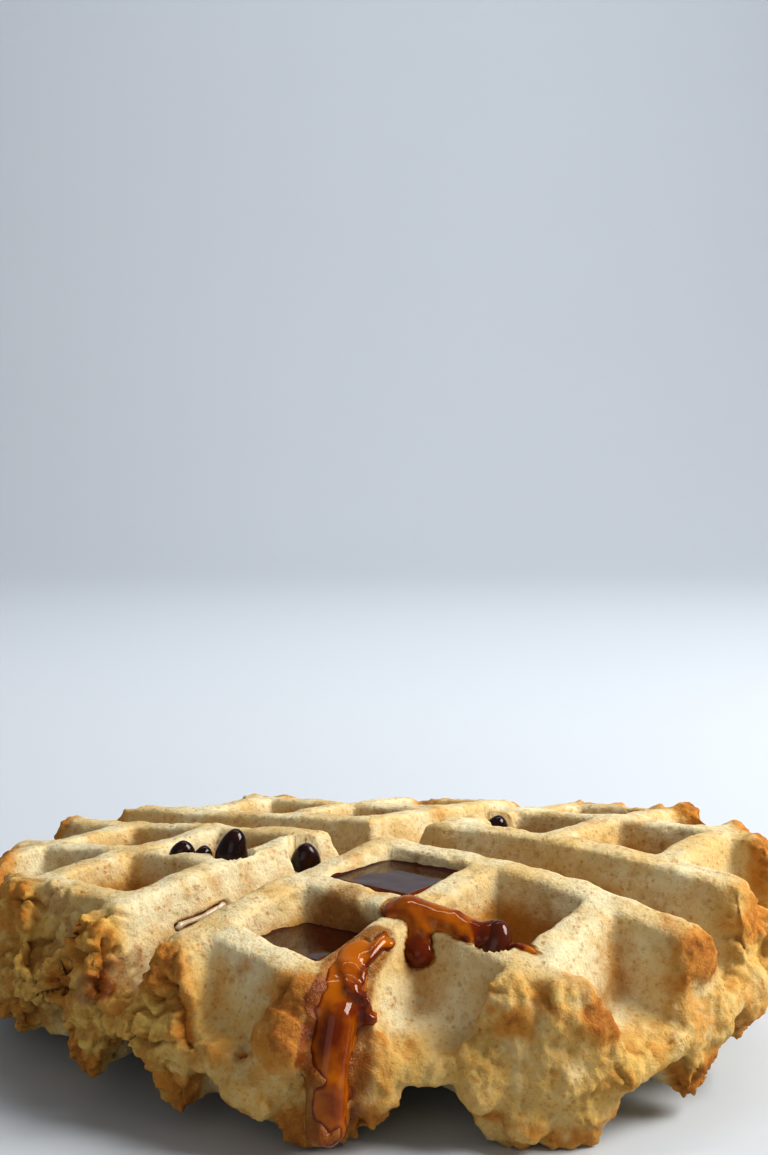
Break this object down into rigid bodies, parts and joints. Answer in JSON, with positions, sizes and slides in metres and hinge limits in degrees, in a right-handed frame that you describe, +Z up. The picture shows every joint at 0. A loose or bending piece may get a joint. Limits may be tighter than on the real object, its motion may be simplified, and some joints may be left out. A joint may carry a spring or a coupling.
{
  "type": "waffle",
  "caption": "Thick round chocolate chip waffle with deep square pockets and a torn, crusty rim. Maple syrup stands in two pockets and runs down one side.",
  "frame": {"origin": "on the surface under the waffle, at the middle of its bounding box", "axes": "+Z up. The ridges run along X and Y. The quarter with the syrup lies between +X and -Y, and the picture's camera looks from there"},
  "size_m": [0.1878, 0.1594, 0.0449],
  "materials": {
    "waffle": "dry, browned crumb",
    "syrup": "wet and glossy"
  },
  "bodies": {
    "root": {"waffle": "waffle", "syrup_pool_full": "syrup", "syrup_pool_low": "syrup"}
  },
  "joints": []
}
